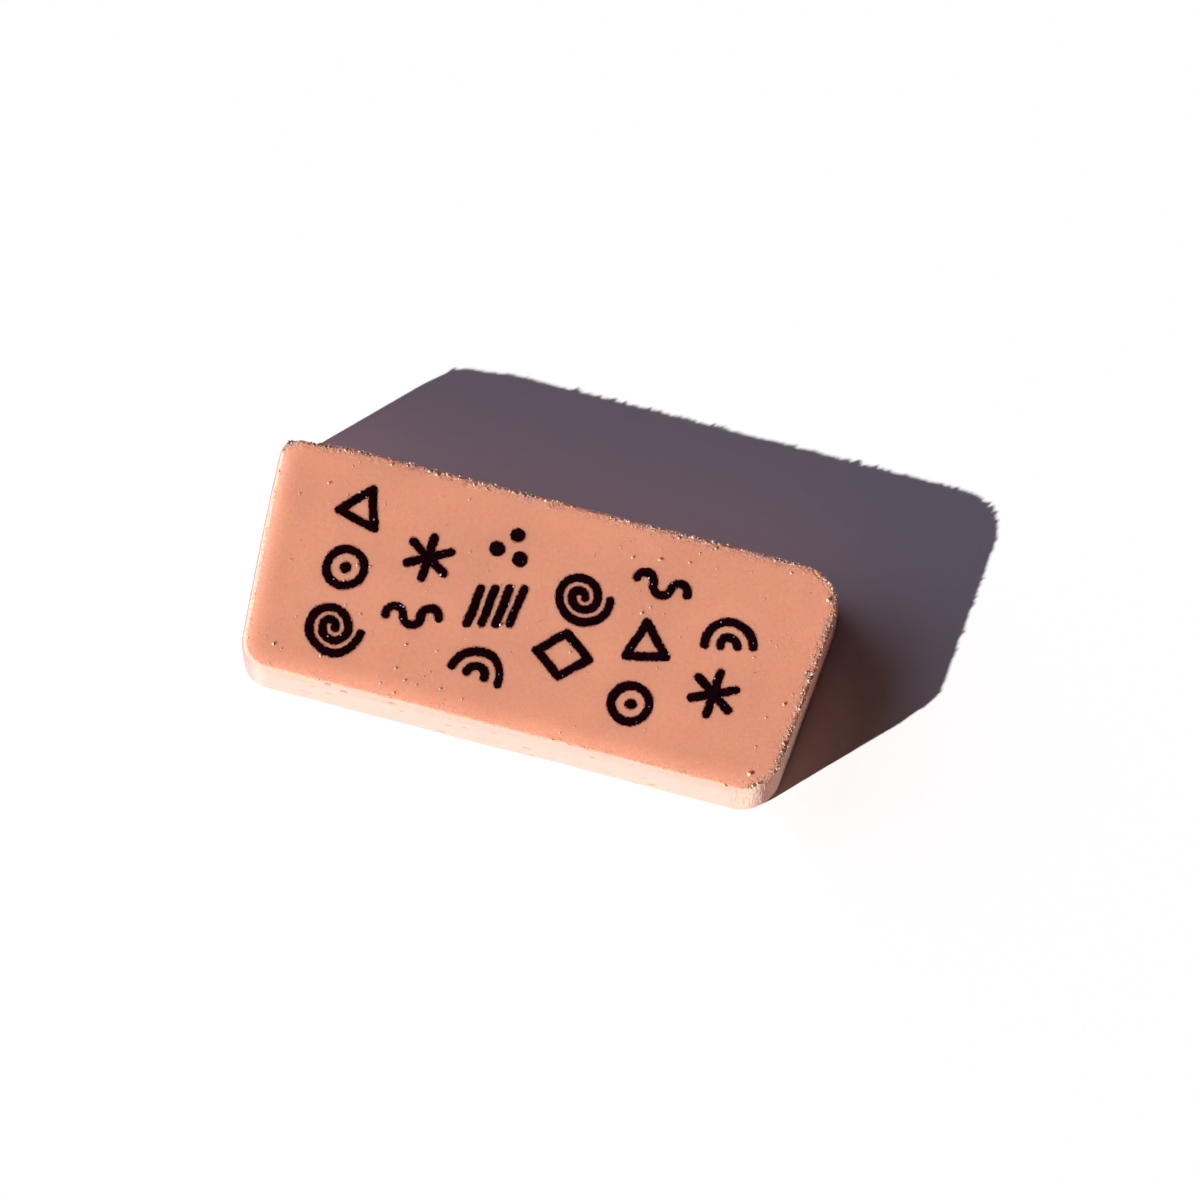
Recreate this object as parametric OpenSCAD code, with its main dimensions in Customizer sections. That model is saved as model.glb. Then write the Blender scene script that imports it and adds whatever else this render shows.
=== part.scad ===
// Block eraser of pink rubber, moulded in one piece, with black marks printed on its top face.
// The plan is a rounded trapezoid: both ends lean in towards the near long edge.
// X runs along the block, Y across it to the longer edge, Z up. The origin is under its middle.

/* [Block] */
// Overall length, taken along the longer of the two long edges
block_len = 60; // [54:0.5:80]
// Width between the two long edges
block_w = 25; // [23:0.5:34]
// Thickness from the base to the top face
block_t = 9; // [5:0.25:16]
// Lean of the left end, in degrees
left_lean = 4.23; // [0:0.01:8]
// Lean of the right end, in degrees
right_lean = 5.18; // [0:0.01:8]

/* [Rounding] */
// Upright corner at the left end of the longer edge
far_left_r = 2.2; // [2:0.1:6]
// Upright corner at the right end of the longer edge
far_right_r = 4.4; // [2:0.1:6]
// Upright corner at the right end of the shorter edge
near_right_r = 4.3; // [2:0.1:6]
// Upright corner at the left end of the shorter edge
near_left_r = 3.2; // [2:0.1:6]
// Soft rim round the top and bottom faces
rim_r = 0.5; // [0.3:0.05:0.95]

/* [Print] */
// Thickness of the ink
ink_t = 0.05; // [0.03:0.01:0.12]
// Width of a printed line
line_w = 0.9; // [0.6:0.05:1.1]
// Size of the marks, across a mark of middling size
mark_size = 4.6; // [3.5:0.1:5]
// Distance between columns of marks
column_step = 8; // [7:0.25:10]
// Distance between the marks of one column
row_step = 6.4; // [5.6:0.1:7.5]
// Bare rubber kept between the marks and the rim
print_margin = 2; // [1.5:0.25:5]

/* [Hidden] */
$fn = 64;

// How far the sharp corner would stand past the end of a block whose corner is rounded
function sharp_excess(radius, lean) = radius * (tan(lean) + 1 / cos(lean) - 1);

far_left_x = -block_len / 2 - sharp_excess(far_left_r, left_lean);
far_right_x = block_len / 2 + sharp_excess(far_right_r, right_lean);
near_left_x = far_left_x + block_w * tan(left_lean);
near_right_x = far_right_x - block_w * tan(right_lean);

// Sharp corners of the plan, anticlockwise from the near left, and the radius of each
sharp_corners = [
    [near_left_x, -block_w / 2],
    [near_right_x, -block_w / 2],
    [far_right_x, block_w / 2],
    [far_left_x, block_w / 2]
];
corner_radii = [near_left_r, near_right_r, far_right_r, far_left_r];
last = len(sharp_corners) - 1;

function next(i) = i == last ? 0 : i + 1;
function previous(i) = i == 0 ? last : i - 1;
function unit(v) = v / norm(v);
// Outward normal of the side that runs from corner i to the next one
function side_normal(i) =
    let (along = unit(sharp_corners[next(i)] - sharp_corners[i]))
    [along[1], -along[0]];
// Centre of the round at corner i, which lies one radius inside both sides that meet there
function round_centre(i) =
    let (
        before = side_normal(previous(i)),
        after = side_normal(i),
        inward = -unit(before + after)
    )
    sharp_corners[i] + inward * corner_radii[i] / (-inward * after);

// Direction in which a vector points, in degrees
function heading(v) = atan2(v[1], v[0]);

// The straight sides stop this far inside the corner rounds, so that the two surfaces cross
// cleanly where they would otherwise only touch
hair = 0.002;

// Upright section of the outer depth of the block, with its two rims rounded
module edge_section(depth) {
    square_h = block_t - 2 * rim_r;
    translate([0, -block_t / 2])
        square([depth - rim_r, block_t]);
    translate([0, -square_h / 2])
        square([depth, square_h]);
    for (side = [-1, 1])
        translate([depth - rim_r, side * square_h / 2])
            circle(r = rim_r);
}

module corner_post(i) {
    translate(round_centre(i))
        rotate_extrude()
            edge_section(corner_radii[i]);
}

// Bar along the side that runs from corner i to the next one, deep enough to reach the core
module side_bar(i) {
    normal = side_normal(i);
    depth = max(corner_radii[i], corner_radii[next(i)]);
    bar_start = round_centre(i) + normal * (corner_radii[i] - depth - hair);
    bar_end = round_centre(next(i)) + normal * (corner_radii[next(i)] - depth - hair);
    translate(bar_end)
        rotate([90, 0, heading(normal)])
            linear_extrude(norm(bar_end - bar_start))
                edge_section(depth);
}

module core() {
    translate([0, 0, -block_t / 2])
        linear_extrude(block_t)
            polygon([for (i = [0 : last]) round_centre(i)]);
}

module eraser_block() {
    color([0.90, 0.59, 0.48])
        translate([0, 0, block_t / 2]) {
            core();
            for (i = [0 : last]) {
                corner_post(i);
                side_bar(i);
            }
        }
}

// One line with round ends through a list of points
module line(points) {
    for (i = [0 : len(points) - 1])
        translate(points[i])
            circle(d = line_w);
    for (i = [0 : len(points) - 2]) {
        run = points[i + 1] - points[i];
        translate(points[i])
            rotate(heading(run))
                translate([0, -line_w / 2])
                    square([norm(run), line_w]);
    }
}

// Half a ring on the upper side of its centre, with round ends
module half_ring(radius) {
    difference() {
        circle(r = radius + line_w / 2);
        circle(r = radius - line_w / 2);
        translate([-2 * radius, -2 * radius])
            square([4 * radius, 2 * radius]);
    }
    for (side = [-1, 1])
        translate([side * radius, 0])
            circle(d = line_w);
}

module target_mark(size) {
    ring_r = 0.42 * size;
    dot_r = 0.13 * size;
    difference() {
        circle(r = ring_r + line_w / 2);
        circle(r = ring_r - line_w / 2);
    }
    circle(r = dot_r);
}

module wave_mark(size) {
    crest_r = 0.2 * size;
    for (i = [-1 : 1])
        translate([2 * crest_r * i, 0])
            rotate(i == 0 ? 180 : 0)
                half_ring(crest_r);
}

module triangle_mark(size) {
    corner_r = 0.52 * size;
    line([
        for (turn = [90, 210, 330, 90])
            corner_r * [cos(turn), sin(turn)]
    ]);
}

module spiral_mark(size) {
    gap = 0.145 * size;
    for (i = [1 : 4])
        translate([i % 2 == 0 ? gap : 0, 0])
            rotate(i % 2 == 0 ? 180 : 0)
                half_ring(gap * i);
}

module burst_mark(size) {
    arm = 0.5 * size;
    for (turn = [30, 90, 150])
        line([
            for (side = [-1, 1])
                side * arm * [cos(turn), sin(turn)]
        ]);
}

module dots_mark(size) {
    dot_r = 0.17 * size;
    spread = 0.32 * size;
    for (turn = [90, 210, 330])
        translate(spread * [cos(turn), sin(turn)])
            circle(r = dot_r);
}

module hatch_mark(size) {
    pitch = 0.32 * size;
    reach = 0.4 * size;
    slant = 0.15 * size;
    for (i = [-1.5 : 1.5])
        line([
            [pitch * i - slant, -reach],
            [pitch * i + slant, reach]
        ]);
}

module diamond_mark(size) {
    half_long = 0.6 * size;
    half_short = 0.5 * size;
    line([
        for (turn = [0 : 90 : 360])
            [half_long * cos(turn), half_short * sin(turn)]
    ]);
}

module rainbow_mark(size) {
    inner_r = 0.2 * size;
    outer_r = 0.55 * size;
    drop = 0.25 * size;
    translate([0, -drop])
        for (radius = [inner_r, outer_r])
            half_ring(radius);
}

// The kinds of mark come up in turn
kinds = 9;

module mark(number, size) {
    kind = number % kinds;
    if (kind == 0) spiral_mark(size);
    if (kind == 1) target_mark(size);
    if (kind == 2) triangle_mark(size);
    if (kind == 3) wave_mark(size);
    if (kind == 4) burst_mark(size);
    if (kind == 5) rainbow_mark(size);
    if (kind == 6) hatch_mark(size);
    if (kind == 7) dots_mark(size);
    if (kind == 8) diamond_mark(size);
}

// The columns of marks go as far as the flat of the top face reaches
widest_mark = 1.3 * mark_size;
flat_left = near_left_x + rim_r + print_margin;
flat_right = near_right_x - rim_r - print_margin;
flat_middle = (flat_left + flat_right) / 2;
columns = floor((flat_right - flat_left - widest_mark) / column_step) + 1;

// Columns hold three and two marks by turns
rows_by_turns = [3, 2];
function rows_in(column) = rows_by_turns[column % len(rows_by_turns)];
function marks_before(column) =
    column == 0 ? 0 : marks_before(column - 1) + rows_in(column - 1);

// Each mark is turned by its own share of the most tilt
most_tilt = 14;
tilt_turn = 137;

module ink_print() {
    color([0.09, 0.06, 0.07])
        translate([flat_middle, 0, block_t])
            linear_extrude(ink_t)
                for (column = [0 : columns - 1])
                    for (row = [0 : rows_in(column) - 1]) {
                        number = marks_before(column) + row;
                        translate([
                            column_step * (column - (columns - 1) / 2),
                            row_step * (row - (rows_in(column) - 1) / 2)
                        ])
                            rotate(most_tilt * sin(tilt_turn * number))
                                mark(number, mark_size);
                    }
}

eraser_block();
ink_print();
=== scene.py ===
# Looks of a flat block eraser of pink rubber with plain marks printed on its top face.
import math
import random
from typing import NamedTuple

import bmesh
import bpy
from mathutils import Matrix, Vector, noise
from mathutils.bvhtree import BVHTree


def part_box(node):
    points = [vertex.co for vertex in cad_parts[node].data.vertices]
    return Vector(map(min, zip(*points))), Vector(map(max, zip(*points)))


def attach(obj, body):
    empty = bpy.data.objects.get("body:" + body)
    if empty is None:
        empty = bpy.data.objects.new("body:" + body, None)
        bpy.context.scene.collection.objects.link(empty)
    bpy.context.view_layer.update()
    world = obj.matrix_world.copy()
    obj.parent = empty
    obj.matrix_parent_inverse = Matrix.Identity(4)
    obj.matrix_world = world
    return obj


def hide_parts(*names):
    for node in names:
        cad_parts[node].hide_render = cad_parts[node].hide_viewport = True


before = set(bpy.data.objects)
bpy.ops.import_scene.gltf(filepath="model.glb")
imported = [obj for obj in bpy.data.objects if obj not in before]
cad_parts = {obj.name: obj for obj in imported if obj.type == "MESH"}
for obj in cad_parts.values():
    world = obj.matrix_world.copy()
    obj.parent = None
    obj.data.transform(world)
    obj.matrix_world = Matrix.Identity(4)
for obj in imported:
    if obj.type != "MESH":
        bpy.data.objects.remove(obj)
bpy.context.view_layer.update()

bl_info = {
    "name": "Rubber eraser",
    "version": (1, 0, 0),
    "blender": (4, 5, 0),
    "location": "View3D > Sidebar > Eraser",
    "description": "Builds the worn rubber block, its crumbs, its printed marks and the stage",
    "category": "Add Mesh",
}

MM = 0.001

BLOCK_LOW, BLOCK_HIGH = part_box("eraser_block")
BLOCK_LENGTH = BLOCK_HIGH.x - BLOCK_LOW.x
BLOCK_WIDTH = BLOCK_HIGH.y - BLOCK_LOW.y
TOP_Z = BLOCK_HIGH.z


# Settings that a user would change


class EraserBlockSettings(bpy.types.PropertyGroup):
    """Form and finish of the rubber block"""

    left_lean: bpy.props.FloatProperty(
        name="Left end lean", description="How far the left end leans in towards the near edge",
        default=math.radians(4.23), subtype="ANGLE")
    right_lean: bpy.props.FloatProperty(
        name="Right end lean", description="How far the right end leans in towards the near edge",
        default=math.radians(5.18), subtype="ANGLE")
    near_left_r: bpy.props.FloatProperty(
        name="Near left corner", description="Radius of that upright corner",
        default=3.2 * MM, unit="LENGTH", precision=5)
    near_right_r: bpy.props.FloatProperty(
        name="Near right corner", description="Radius of that upright corner",
        default=4.3 * MM, unit="LENGTH", precision=5)
    far_right_r: bpy.props.FloatProperty(
        name="Far right corner", description="Radius of that upright corner",
        default=4.4 * MM, unit="LENGTH", precision=5)
    far_left_r: bpy.props.FloatProperty(
        name="Far left corner", description="Radius of that upright corner",
        default=2.2 * MM, unit="LENGTH", precision=5)
    rim_r: bpy.props.FloatProperty(
        name="Rim", description="Radius of the soft rim round the top and the base",
        default=0.5 * MM, unit="LENGTH", precision=5)
    mesh_pitch: bpy.props.FloatProperty(
        name="Mesh pitch", description="Distance between the cuts across the block",
        default=0.4 * MM, unit="LENGTH", precision=5)
    waviness: bpy.props.FloatProperty(
        name="Waviness", description="How far the soft sides swell and sink",
        default=0.06 * MM, unit="LENGTH", precision=5)
    crumbling: bpy.props.FloatProperty(
        name="Crumbling", description="How deep the worn rims are pitted",
        default=0.06 * MM, unit="LENGTH", precision=5)
    rubber_colour: bpy.props.FloatVectorProperty(
        name="Rubber", description="Colour of the smooth rubber", subtype="COLOR", size=3,
        default=(0.768, 0.350, 0.225))
    # Pale colour of rubbed dust, also used for a painted highlight along the edges that face the
    # key light.
    pale_dust_and_highlight_colour: bpy.props.FloatVectorProperty(
        name="Dusty rubber", description="Colour of the rubber where it is rubbed pale",
        subtype="COLOR", size=3, default=(0.83, 0.51, 0.39))
    wall_colour: bpy.props.FloatVectorProperty(
        name="Side walls", description="Colour of the rubbed side walls", subtype="COLOR", size=3,
        default=(0.77, 0.34, 0.32))
    # Darker colour for the left end, and painted shade on the far part of the right wall, where
    # less light comes up from the lit floor.
    darker_end_and_shade_colour: bpy.props.FloatVectorProperty(
        name="Handled rubber", description="Colour of the ends where handling has greyed them",
        subtype="COLOR", size=3, default=(0.45, 0.18, 0.18))
    # Paler colour for the near right corner, and painted light on the near part of the right wall,
    # where the lit floor throws light up.
    pale_corner_and_bounce_light_colour: bpy.props.FloatVectorProperty(
        name="Frosted rubber", description="Colour of the near right corner, rubbed rough",
        subtype="COLOR", size=3, default=(0.96, 0.62, 0.48))
    # Darker colour for the deep mottles, and painted shade in the pits, between the crumbs and in
    # the dents and creases.
    deep_tone_and_shade_colour: bpy.props.FloatVectorProperty(
        name="Deep rubber", description="Colour in pits and between crumbs",
        subtype="COLOR", size=3, default=(0.45, 0.15, 0.075))


class EraserCrumbSettings(bpy.types.PropertyGroup):
    """Rubbed-off grains that stick to the block"""

    seed: bpy.props.IntProperty(
        name="Seed", description="Chooses another scatter of grains", default=11)
    grain_r: bpy.props.FloatProperty(
        name="Grain radius", description="Radius of a middling grain on a worn rim",
        default=0.05 * MM, unit="LENGTH", precision=6)
    grain_step: bpy.props.FloatProperty(
        name="Grain step", description="Distance along a rim from one chance of grains to the next",
        default=0.12 * MM, unit="LENGTH", precision=5)
    speck_count: bpy.props.IntProperty(
        name="Specks", description="Number of single specks on the top face", default=280, min=0)


class EraserInkSettings(bpy.types.PropertyGroup):
    """Printed marks on the top face"""

    ink_colour: bpy.props.FloatVectorProperty(
        name="Ink", description="Colour of the printing ink", subtype="COLOR", size=3,
        default=(0.005, 0.001, 0.002))
    fringe_colour: bpy.props.FloatVectorProperty(
        name="Fringe", description="Colour where the ink has soaked into the rubber",
        subtype="COLOR", size=3, default=(0.34, 0.10, 0.055))
    ink_height: bpy.props.FloatProperty(
        name="Ink height", description="How far the ink stands above the rubber",
        default=0.015 * MM, unit="LENGTH", precision=6)
    hand_wobble: bpy.props.FloatProperty(
        name="Hand wobble", description="How far the drawn lines stray",
        default=0.14 * MM, unit="LENGTH", precision=5)
    edge_bleed: bpy.props.FloatProperty(
        name="Edge bleed", description="How rough the edge of a line is",
        default=0.11 * MM, unit="LENGTH", precision=5)
    fringe_width: bpy.props.FloatProperty(
        name="Fringe width", description="How far the ink has soaked out round a line",
        default=0.09 * MM, unit="LENGTH", precision=5)


class EraserStageSettings(bpy.types.PropertyGroup):
    """Floor, light and camera"""

    floor_colour: bpy.props.FloatVectorProperty(
        name="Floor", description="Colour of the floor as the camera sees it", subtype="COLOR",
        size=3, default=(1.0, 1.0, 1.0))
    floor_glow: bpy.props.FloatVectorProperty(
        name="Floor glow", description="Colour of the light that the floor throws back",
        subtype="COLOR", size=3, default=(0.86, 0.74, 0.76))
    key_strength: bpy.props.FloatProperty(
        name="Key light", description="Strength of the low side light", default=7.12)
    key_softness: bpy.props.FloatProperty(
        name="Key softness", description="Angle that the key light fills",
        default=math.radians(0.65), subtype="ANGLE")
    key_azimuth: bpy.props.FloatProperty(
        name="Key azimuth", description="Where the key light stands, from the near side",
        default=math.radians(-44.0), subtype="ANGLE")
    key_elevation: bpy.props.FloatProperty(
        name="Key elevation", description="How high the key light stands",
        default=math.radians(24.2), subtype="ANGLE")
    key_colour: bpy.props.FloatVectorProperty(
        name="Key colour", description="Colour of the low side light", subtype="COLOR", size=3,
        default=(1.0, 0.99, 0.98))
    fill_strength: bpy.props.FloatProperty(
        name="Fill light", description="Strength of the soft light from the left",
        default=0.70)
    fill_softness: bpy.props.FloatProperty(
        name="Fill softness", description="Angle that the fill light fills",
        default=math.radians(60), subtype="ANGLE")
    fill_azimuth: bpy.props.FloatProperty(
        name="Fill azimuth", description="Where the fill light stands, from the near side",
        default=math.radians(-102), subtype="ANGLE")
    fill_elevation: bpy.props.FloatProperty(
        name="Fill elevation", description="How high the fill light stands",
        default=math.radians(25), subtype="ANGLE")
    fill_colour: bpy.props.FloatVectorProperty(
        name="Fill colour", description="Colour of the soft light", subtype="COLOR", size=3,
        default=(0.74, 0.69, 1.0))
    room_strength: bpy.props.FloatProperty(
        name="Room light", description="Strength of the light from all round", default=0.025)
    room_colour: bpy.props.FloatVectorProperty(
        name="Room colour", description="Colour of the light from all round", subtype="COLOR",
        size=3, default=(1.0, 0.62, 0.55))
    view_azimuth: bpy.props.FloatProperty(
        name="Camera azimuth", description="Where the camera stands, from the near side",
        default=math.radians(14.9), subtype="ANGLE")
    view_elevation: bpy.props.FloatProperty(
        name="Camera elevation", description="How high the camera stands",
        default=math.radians(76.0), subtype="ANGLE")
    view_distance: bpy.props.FloatProperty(
        name="Camera distance", description="From the camera to the block",
        default=1.0, unit="LENGTH")
    view_width: bpy.props.FloatProperty(
        name="View width", description="Width that the picture shows at the block",
        default=123.33 * MM, unit="LENGTH", precision=4)
    aim_right: bpy.props.FloatProperty(
        name="Aim right", description="How far the picture's middle lies right of the block's",
        default=6.79 * MM, unit="LENGTH", precision=5)
    aim_up: bpy.props.FloatProperty(
        name="Aim up", description="How far the picture's middle lies above the block's",
        default=1.66 * MM, unit="LENGTH", precision=5)


# Plan of the block


class BlockPlan:
    """The rounded trapezoid that the block has in plan, with its corners anticlockwise from
    the near left."""

    def __init__(self, settings):
        self.radii = [settings.near_left_r, settings.near_right_r,
                      settings.far_right_r, settings.far_left_r]
        far_left = BLOCK_LOW.x - self.sharp_excess(settings.far_left_r, settings.left_lean)
        far_right = BLOCK_HIGH.x + self.sharp_excess(settings.far_right_r, settings.right_lean)
        self.corners = [
            Vector((far_left + BLOCK_WIDTH * math.tan(settings.left_lean), BLOCK_LOW.y, 0)),
            Vector((far_right - BLOCK_WIDTH * math.tan(settings.right_lean), BLOCK_LOW.y, 0)),
            Vector((far_right, BLOCK_HIGH.y, 0)),
            Vector((far_left, BLOCK_HIGH.y, 0)),
        ]
        self.normals = []
        for i, corner in enumerate(self.corners):
            along = (self.corners[(i + 1) % 4] - corner).normalized()
            self.normals.append(Vector((along.y, -along.x, 0)))
        self.centres = []
        for i, corner in enumerate(self.corners):
            inward = -(self.normals[i - 1] + self.normals[i]).normalized()
            self.centres.append(corner + inward * self.radii[i] / -inward.dot(self.normals[i]))

    @staticmethod
    def sharp_excess(radius, lean):
        """How far the sharp corner would stand past the end of the rounded one."""
        return radius * (math.tan(lean) + 1 / math.cos(lean) - 1)

    def edge(self, point):
        """How far inside the outline a point lies, and the way straight out of the outline."""
        flat = Vector((point.x, point.y, 0))
        for i, centre in enumerate(self.centres):
            out = flat - centre
            past_before = out.cross(self.normals[i - 1]).z > 0
            past_after = out.cross(self.normals[i]).z < 0
            beyond = out.dot(self.normals[i - 1] + self.normals[i]) > 0
            if not past_before and not past_after and beyond:
                return self.radii[i] - out.length, out.normalized()
        return min((((corner - flat).dot(normal), normal)
                    for corner, normal in zip(self.corners, self.normals)),
                   key=lambda pair: pair[0])

    def outline(self, step):
        """Points at even steps along the outline, each with the way straight out of it."""
        points = []
        for i, centre in enumerate(self.centres):
            turn = self.normals[i - 1].angle(self.normals[i])
            count = max(1, round(turn * self.radii[i] / step))
            for k in range(count):
                out = Matrix.Rotation(turn * k / count, 3, "Z") @ self.normals[i - 1]
                points.append((centre + out * self.radii[i], out))
            following = (i + 1) % len(self.centres)
            start = centre + self.normals[i] * self.radii[i]
            end = self.centres[following] + self.normals[i] * self.radii[following]
            count = max(1, round((end - start).length / step))
            points += [(start.lerp(end, k / count), self.normals[i]) for k in range(count)]
        return points


def smooth_step(low, high, value):
    """Share from 0 at low to 1 at high, easing in and out; low may be the larger of the two."""
    share = min(1.0, max(0.0, (value - low) / (high - low)))
    return share * share * (3 - 2 * share)


# Meshes


def finished(name, bm, materials, body="root", smooth=True):
    """Turns a bmesh into a piece, which rides on the block's body unless it is given none."""
    mesh = bpy.data.meshes.new(name)
    for face in bm.faces:
        face.smooth = smooth
    bm.to_mesh(mesh)
    bm.free()
    for material in materials:
        mesh.materials.append(material)
    piece = bpy.data.objects.new(name, mesh)
    bpy.context.scene.collection.objects.link(piece)
    if body:
        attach(piece, body)
    return piece


def cut(bm, point, normal):
    """Cuts the whole mesh along a plane and keeps both sides."""
    bmesh.ops.bisect_plane(
        bm, geom=bm.verts[:] + bm.edges[:] + bm.faces[:], dist=0.002 * MM,
        plane_co=point, plane_no=normal)


def even_steps(low, high, pitch):
    """Places between two ends, about one pitch apart."""
    count = max(1, round((high - low) / pitch))
    return [low + (high - low) * i / count for i in range(1, count)]


# Places of wear, in mm in the frame of the block


# How far each kind of wear moves the skin at most
RIPPLE = 0.006
RIDGE = 0.045
SCORE = 0.05
FINE_SCORE = 0.02
PILLOW = 0.36
LIP = 0.06
END_BULGE = 0.13
FAR_SAG = 0.5
# How far in from a lit edge the top face rounds off, and how far in a painted highlight of pale
# speckle reaches
PILLOW_REACH = 2.5
LIT_EDGE_HIGHLIGHT_REACH = 1.7
# Dents in the near side: place along the block, height and length
NEAR_DENTS = (
    (-21.1, 3.4, 0.8), (-20.0, 6.7, 0.3), (-18.6, 8.3, 0.3), (-18.4, 5.2, 0.4),
    (-16.9, 7.6, 0.4), (-11.7, 7.7, 0.4), (-10.6, 5.8, 0.3), (-6.4, 1.3, 0.4),
    (-5.7, 5.0, 0.3), (-3.9, 5.9, 0.3), (-0.9, 6.8, 0.4), (2.6, 3.7, 0.5),
    (3.2, 1.0, 0.4), (5.4, 2.3, 0.3), (9.7, 7.1, 0.3), (11.3, 2.2, 0.3),
    (15.2, 3.9, 0.3), (16.0, 2.0, 0.3),
)
DENT_R = 0.2
DENT_DEPTH = 0.16
# No hollow lies below this on the other sides
HOLLOWS_FROM_Z = 8.3
# Creases: start, end, half width and depth
CREASES = (
    ((-1.8, -12.5, 3.2), (0.1, -12.5, 3.0), 0.14, 0.08),
    ((26.6, 11.9, 8.9), (27.9, 11.3, 8.9), 0.12, 0.07),
    ((25.8, -10.8, 9.0), (26.5, -11.1, 9.0), 0.09, 0.02),
)


def hollows():
    """Every dent and crease as start, end, half width and depth."""
    near = BLOCK_LOW.y / MM
    found = [(Vector((x - length / 2, near, z)), Vector((x + length / 2, near, z)),
              DENT_R, DENT_DEPTH) for x, z, length in NEAR_DENTS]
    return found + [(Vector(start), Vector(end), half_w, depth)
                    for start, end, half_w, depth in CREASES]


def distance_to(point, start, end):
    """Distance from a point to the line between two others."""
    along = end - start
    share = min(1.0, max(0.0, (point - start).dot(along) / along.length_squared))
    return (point - start - along * share).length


def worn_share(point):
    """How worn the top rim is at a place, from 0 to 1: most on the far edge and the right."""
    far = smooth_step(8, 11, point.y)
    right = smooth_step(22, 26, point.x)
    left = smooth_step(-27, -29, point.x)
    return max(0.5, far, right) * (1 - 0.6 * left * (1 - far))


def lump_share(point):
    """How many larger crumbs cling to the rim at a place: most on the near half of the right."""
    far = smooth_step(9, 11, point.y)
    right = smooth_step(22, 26, point.x) * smooth_step(4, -2, point.y)
    return max(0.02, 0.35 * far, right)


def far_edge_sag(point):
    """How far the far edge has drawn in close to its left corner, in mm."""
    along = smooth_step(-22, -27.3, point.x) * smooth_step(-29.7, -28.4, point.x)
    return FAR_SAG * along * smooth_step(9, 12, point.y) * (0.4 + 0.6 * point.z / 9)


def top_rim_share(settings, depth, height):
    """How near a place is to the top rim, from 0 on the open faces to 1 on the rim. Its depth
    inside the outline and its height are in metres."""
    across = smooth_step(settings.rim_r + 0.9 * MM, settings.rim_r * 0.9, depth)
    upright = smooth_step(TOP_Z - settings.rim_r - 0.4 * MM, TOP_Z - settings.rim_r, height)
    return across * upright


# Smooth block


def block_shell(settings, plan):
    """The block as moulded: its plan drawn by arcs, raised, rimmed and cut into a net."""
    bm = bmesh.new()
    corner_steps = 14
    for i, centre in enumerate(plan.centres):
        start = bm.verts.new(centre + plan.normals[i - 1] * plan.radii[i])
        turn = plan.normals[i - 1].angle(plan.normals[i])
        bmesh.ops.spin(bm, geom=[start], cent=centre, axis=(0, 0, 1), angle=turn,
                       steps=corner_steps)
    bm.verts.ensure_lookup_table()
    arc = corner_steps + 1
    for i in range(4):
        end = bm.verts[i * arc + arc - 1]
        following = bm.verts[(i + 1) % 4 * arc]
        bm.edges.new((end, following))
    base = bmesh.ops.contextual_create(bm, geom=bm.edges[:])["faces"]
    raised = bmesh.ops.extrude_face_region(bm, geom=base)["geom"]
    bmesh.ops.translate(bm, vec=(0, 0, TOP_Z),
                        verts=[part for part in raised if isinstance(part, bmesh.types.BMVert)])
    bmesh.ops.recalc_face_normals(bm, faces=bm.faces)
    rim = [edge for edge in bm.edges
           if abs(edge.verts[0].co.z - edge.verts[1].co.z) < MM / 100]
    bmesh.ops.bevel(bm, geom=rim, offset=settings.rim_r, offset_type="OFFSET", segments=2,
                    profile=0.5, affect="EDGES", clamp_overlap=False, material=-1)

    pitch = settings.mesh_pitch
    near_left, near_right, far_right, far_left = plan.corners
    for share in even_steps(0, 1, pitch / BLOCK_LENGTH):
        near = near_left.lerp(near_right, share)
        along = far_left.lerp(far_right, share) - near
        cut(bm, near, (along.y, -along.x, 0))
    for y in even_steps(BLOCK_LOW.y, BLOCK_HIGH.y, pitch):
        cut(bm, (0, y, 0), (0, 1, 0))
    for z in even_steps(settings.rim_r, TOP_Z - settings.rim_r, pitch / 2):
        cut(bm, (0, 0, z), (0, 0, 1))
    refine(bm, settings, plan)
    round_the_rims(bm, settings, plan)
    bm.normal_update()
    return bm


def refine(bm, settings, plan):
    """A finer net along the top rim, down the near right corner and round every hollow."""
    margin = 0.25 * MM
    near_wall = BLOCK_LOW.y + 0.1 * MM
    found_hollows = hollows()

    def in_detail(vert):
        depth, _ = plan.edge(vert.co)
        point = vert.co / MM
        on_rim = vert.co.z > TOP_Z - settings.rim_r - margin
        on_corner = point.x > 23 and point.y < -8.5 and point.z > 1
        if on_rim and depth < settings.rim_r + 0.7 * MM:
            return True
        if on_corner and depth < settings.rim_r:
            return True
        if vert.co.y > near_wall and vert.co.z < TOP_Z - margin:
            return False
        return any(distance_to(point, start, end) < half_w + 0.4
                   for start, end, half_w, _ in found_hollows)

    detailed = {vert for vert in bm.verts if in_detail(vert)}
    odd = [face for face in bm.faces
           if len(face.verts) > 4 and any(vert in detailed for vert in face.verts)]
    bmesh.ops.triangulate(bm, faces=odd)
    edges = [edge for edge in bm.edges if all(vert in detailed for vert in edge.verts)]
    bmesh.ops.subdivide_edges(bm, edges=edges, cuts=3, use_grid_fill=True)


def round_the_rims(bm, settings, plan):
    """Moves the flats of the two rims out onto their true round."""
    rim_r = settings.rim_r
    for vert in bm.verts:
        depth, out = plan.edge(vert.co)
        above = vert.co.z - (TOP_Z - rim_r)
        below = rim_r - vert.co.z
        rise = max(above, below)
        reach = rim_r - depth
        if rise > 0 and reach > 0:
            stretch = rim_r / math.hypot(rise, reach) - 1
            vert.co += out * reach * stretch
            vert.co.z += math.copysign(rise * stretch, above - below)


# Worn skin


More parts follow.
